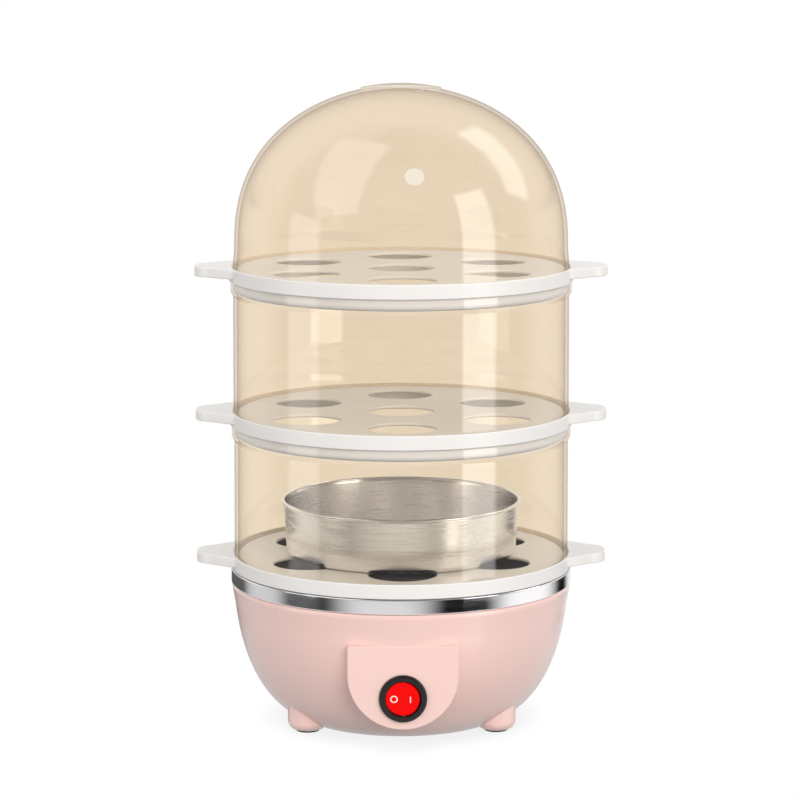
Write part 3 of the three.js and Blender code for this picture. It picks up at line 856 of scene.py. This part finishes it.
def make_switch():
    well = 3 - BARREL_DEPTH  # the bottom of the hollow behind the rocker
    housing = turned("switch_housing", rounded([
        (0, well, 0),
        (BEZEL_BORE, well, 0),
        (BEZEL_BORE, 0, 0.5),
        (BEZEL_R, 0, 1.0),
        (BEZEL_R, -BEZEL_T, 0.2),
        (BARREL_R, -BEZEL_T, 0),
        (BARREL_R, -BARREL_DEPTH, 0.6),
        (0, -BARREL_DEPTH, 0),
    ], closed=False), 96)
    blades = [block("slot", (1.6, 5.6, 8), (side * 3.8, 0, -BARREL_DEPTH)) for side in (-1, 1)]
    show(on_panel(cut(housing, *blades)), "base", "switch_black", black, "switch_housing")


def rocker_height(x):
    """Height of the level rocker's front: a shallow valley with a soft bottom."""
    softness = 3
    sink = 0.4
    return math.sqrt(x * x + softness) * math.tan(math.radians(ROCKER_TILT)) - sink


def tipped(piece):
    """Tilts a rocker piece about its axle, its left half pressed in, and places it on the panel."""
    placed(piece, (0, 0, PIVOT_DEPTH))
    placed(piece, turns=[(-ROCKER_TILT, "Y")])
    placed(piece, (0, 0, -PIVOT_DEPTH))
    return on_panel(piece)


def follow_front(piece):
    """Lifts what lies near the front of a rocker piece by the valley's height."""
    for vertex in piece.data.vertices:
        if vertex.co.z > -1.5:
            vertex.co.z += rocker_height(vertex.co.x)
    return piece


def make_rocker():
    edge = 0.5
    mark_low, mark_high = -0.1, 0.03  # the marks stand just proud of the front
    front = [Vector((r, 0)) for r in (0.0, 1.2, 2.4, 3.6, 4.8, 6.0, 7.0)]
    profile = [
        *front,
        *arc(ROCKER_R - edge, -edge, edge, 90, 0, 5),
        Vector((ROCKER_R, -3.4)),
        Vector((6.6, -6)),
        Vector((0, -6)),
    ]
    body = follow_front(turned("switch_rocker", profile, 96))
    show(tipped(body), "rocker", "rocker_red", red, "switch_rocker")
    ring_in, ring_out = 1.25, 1.85
    ring = turned("mark_off", [
        (ring_in, mark_low),
        (ring_out, mark_low),
        (ring_out, mark_high),
        (ring_in, mark_high),
    ], 48)
    show(tipped(follow_front(placed(ring, (-4.2, 0, 0)))), "rocker", "rocker_red", mark_paint)
    bar_half, bar_r = 1.3, 0.28
    ends = [*arc(0, bar_half, bar_r, 0, 180), *arc(0, -bar_half, bar_r, 180, 360)]
    bar = slab("mark_on", ends, mark_low, mark_high)
    show(tipped(follow_front(placed(bar, (4.05, 0, 0)))), "rocker", "rocker_red", mark_paint)


def make_gland():
    tip = gland_high.y - OUTLET_FACE_Y
    plug = OUTLET_BORE - GAP
    gland = turned("cord_gland", rounded([
        (3.3, -7, 0.2),
        (6, -7, 0.6),
        (6, -SHELL_WALL - GAP, 0.2),
        (plug, -SHELL_WALL - GAP, 0),
        (plug, GAP, 0),
        (7, GAP, 0.3),
        (7, 2.2, 0.8),
        (5.4, 3, 0.3),
        (5.2, 4.1, 0.2),
        (4.7, 4.3, 0.1),
        (4.7, 4.9, 0.1),
        (5.1, 5.1, 0.2),
        (4.9, 6.2, 0.2),
        (4.5, 6.4, 0.1),
        (4.5, 6.9, 0.1),
        (4.8, 7.1, 0.2),
        (4.6, tip, 0.3),
        (3.3, tip, 0.3),
    ]), MEDIUM)
    show(at_outlet(gland), "base", "gland_rubber", rubber, "cord_gland")


# ---------------------------------------------------------------- parts that keep their CAD meshes
def dress_inner_parts():
    """Materials for what is inside the base, whose CAD shapes stay."""
    finishes = {
        silicone: ["pan_gasket"],
        aluminium: ["heater_plate"],
        heater_steel: ["heating_tube", "heater_clamp", "clamp_nut", "clamp_stud", "fuse_clip"],
        ceramic: ["thermostat", "thermal_fuse", "terminal_block"],
        screw_steel: ["rocker_axle"],
        brass: ["switch_terminal_1", "switch_terminal_2"],
        sleeving: [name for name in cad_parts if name.startswith("wire_")],
    }
    finishes[screw_steel] += [f"{kind}_{i}" for kind in ("pan_standoff", "pan_screw") for i in (1, 2, 3)]
    for material, names in finishes.items():
        for name in names:
            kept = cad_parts[name]
            kept.data.materials.clear()
            kept.data.materials.append(material)


# ---------------------------------------------------------------- studio
FLOOR_R = 3.0
SHADOW_REACH = 0.02
SHADOW_TONE = 0.86
OVERHEAD_LIGHT = 0.74
UNDER_LIGHT = 0.06
BOARD_LOW = 0.006  # what mirrors show between the boards
# each board: its middle azimuth, how far it is full and where it ends, in degrees, and its strength
BOARDS = ((-108, 2, 28, 0.58), (-12, 0, 43, 0.8), (96, 4, 40, 1.1), (168.5, 2, 26, 0.9), (-113, 42, 73, 0.1))
# each overhead panel: the direction of its centre, the direction of its width, and half its width and height
LEFT_BOX = (Vector((-0.577, -0.336, 0.745)), Vector((0.693, -0.668, 0.268)), 0.31, 0.62)
RIGHT_BOX = (Vector((0.729, 0.291, 0.619)), Vector((0.083, 0.861, -0.502)), 0.18, 0.42)
# each side strip: its middle azimuth and its top, in degrees, and its strength
SIDE_STRIPS = ((-71.5, 12, 1.2), (54.5, 32, 2.6))
BOARD_TOP = (-0.2062, -0.2042)  # heights of direction over which the boards give way to the panels
GROUND_TOP = (-0.34, -0.225)  # and over which the ground gives way to the boards
LAMP_AT = (0.6, -1.6, 0.75)
LAMP_AIM = (0, 0, 0.12)
LAMP_SIZE = 0.9
LAMP_POWER = 15
LAMP_COLOUR = (1, 0.985, 0.96)


def softbox(tree, toward, centre, across, half_width, half_height):
    """1 where a reflected ray meets a flat light panel square to its centre's direction, and 0 beside it."""
    blur = 0.04
    centre = centre.normalized()
    across = (across - centre * across.dot(centre)).normalized()
    upward = centre.cross(across)

    def along(axis):
        return node(tree, "VectorMath", {0: toward, 1: axis}, operation="DOT_PRODUCT").outputs["Value"]

    ahead = along(centre)
    mask = remap(tree, ahead, 0.0, 0.05, 0, 1)
    for axis, half in ((across, half_width), (upward, half_height)):
        offset = calc(tree, "ABSOLUTE", calc(tree, "DIVIDE", along(axis), ahead))
        mask = calc(tree, "MULTIPLY", mask, remap(tree, offset, half - blur, half + blur, 1, 0))
    return mask


def upright(tree, azimuth, middle, full, edge, strength):
    """The strength within full degrees of the middle azimuth, fading to nothing at edge degrees."""
    swing = calc(tree, "COSINE", calc(tree, "SUBTRACT", azimuth, math.radians(middle)))
    ends = math.cos(math.radians(edge)), math.cos(math.radians(full))
    return remap(tree, swing, *ends, 0, strength)


def mixed(tree, share, first, second):
    """The first number where the share is 0, and the second where it is 1."""
    return node(tree, "Mix", {0: share, 2: first, 3: second}, data_type="FLOAT").outputs[0]


def mirrored_studio(tree, toward, azimuth, y, z):
    """What mirrors see: panels overhead with a strip at each side, then boards with dark gaps between them
    from a little below the horizon down, and last the ground."""
    boards = 0.0
    for board in BOARDS:
        boards = calc(tree, "ADD", boards, upright(tree, azimuth, *board))
    boards = calc(tree, "ADD", boards, BOARD_LOW)

    upper = remap(tree, y, -0.1, 0.5, 0.33, 1.0)
    panels = calc(tree, "MULTIPLY_ADD", softbox(tree, toward, *RIGHT_BOX), 2.3, upper)
    panels = calc(tree, "MULTIPLY_ADD", softbox(tree, toward, *LEFT_BOX), 1.1, panels)
    for middle, top, strength in SIDE_STRIPS:
        high = math.sin(math.radians(top))
        fade = remap(tree, z, high, high + 0.05, strength, 0)
        strip = calc(tree, "MULTIPLY", upright(tree, azimuth, middle, 11, 14, 1), fade)
        panels = calc(tree, "ADD", panels, strip)

    ripple = calc(tree, "SINE", calc(tree, "MULTIPLY_ADD", azimuth, 3, 1))
    low_fade = remap(tree, z, -0.62, -0.42, 0, 1.3)
    low_strip = calc(tree, "MULTIPLY", upright(tree, azimuth, 52.5, 5.5, 8.5, 1), low_fade)
    ground = calc(tree, "ADD", calc(tree, "MULTIPLY_ADD", ripple, 0.12, 0.78), low_strip)

    shown = mixed(tree, remap(tree, z, *BOARD_TOP, 0, 1), boards, panels)
    return mixed(tree, remap(tree, z, *GROUND_TOP, 1, 0), shown, ground)


def matt_studio(tree, x, y, z):
    """What lights matt surfaces: a light that is a little stronger at the front and on the left, less from
    straight overhead and least from below."""
    level = calc(tree, "MULTIPLY_ADD", y, -0.1, calc(tree, "MULTIPLY_ADD", x, -0.14, 0.97))
    light = mixed(tree, remap(tree, z, 0.0, 0.9, 0, 1), level, OVERHEAD_LIGHT)
    return mixed(tree, remap(tree, z, -0.6, 0.0, 1, 0), light, UNDER_LIGHT)


def make_world():
    """White behind everything, one studio for mirror gloss and another for matt surfaces."""
    world = bpy.data.worlds.new("studio")
    world.use_nodes = True
    world.cycles.sampling_method = "NONE"
    scene.world = world
    tree = world.node_tree
    tree.nodes.clear()
    toward = node(tree, "TexCoord").outputs["Generated"]
    x, y, z = node(tree, "SeparateXYZ", {0: toward}).outputs
    azimuth = calc(tree, "ARCTAN2", x, calc(tree, "MULTIPLY", y, -1))  # 0 to the front and 90 degrees to +X
    path = node(tree, "LightPath").outputs
    mirrored = mirrored_studio(tree, toward, azimuth, y, z)
    seen = mixed(tree, path["Is Glossy Ray"], matt_studio(tree, x, y, z), mirrored)
    seen = mixed(tree, path["Is Camera Ray"], seen, 1.0)
    light = node(tree, "Background", {"Color": (1, 1, 1, 1), "Strength": seen})
    node(tree, "OutputWorld", {"Surface": light.outputs[0]})


def make_key_lamp():
    """A square soft lamp from the front right. It lights, and mirrors don't show it."""
    data = bpy.data.lights.new("key_lamp", "AREA")
    data.size = LAMP_SIZE
    data.energy = LAMP_POWER
    data.color = LAMP_COLOUR
    lamp = bpy.data.objects.new("key_lamp", data)
    lamp.location = LAMP_AT
    aim = Vector(LAMP_AIM) - Vector(LAMP_AT)
    lamp.rotation_euler = aim.to_track_quat("-Z", "Y").to_euler()
    lamp.visible_glossy = False
    lamp.visible_camera = False
    scene.collection.objects.link(lamp)


def make_floor():
    """A clear floor, with no edge against the white behind it, darkened where something stands near it."""
    material, tree = new_material("pale_floor")
    open_sky = node(tree, "AmbientOcclusion", {"Distance": SHADOW_REACH}, samples=12).outputs["AO"]
    shade = remap(tree, open_sky, 0.0, 0.8, SHADOW_TONE, 1)
    to_output(tree, node(tree, "BsdfTransparent", {"Color": shade}).outputs[0])
    work = bmesh.new()
    bmesh.ops.create_circle(work, cap_ends=True, segments=96, radius=FLOOR_R)
    floor = finished("floor", work)
    floor.data.materials.append(material)
    floor.visible_glossy = False
    floor.visible_diffuse = False


make_floor()
make_world()
make_key_lamp()
scene.view_settings.view_transform = "Standard"
scene.cycles.transparent_max_bounces = 24

for tray_name, tray_seat in zip(("tray_lower", "tray_middle", "tray_upper"), SEATS):
    make_tray(tray_name, tray_seat)
for ring_name, ring_seat in zip(("cover_ring_lower", "cover_ring_upper"), SEATS):
    make_ring(ring_name, ring_seat)
make_lid()
make_bowl()
make_pan()
make_shell()
make_underside()
make_switch()
make_rocker()
make_gland()
dress_inner_parts()
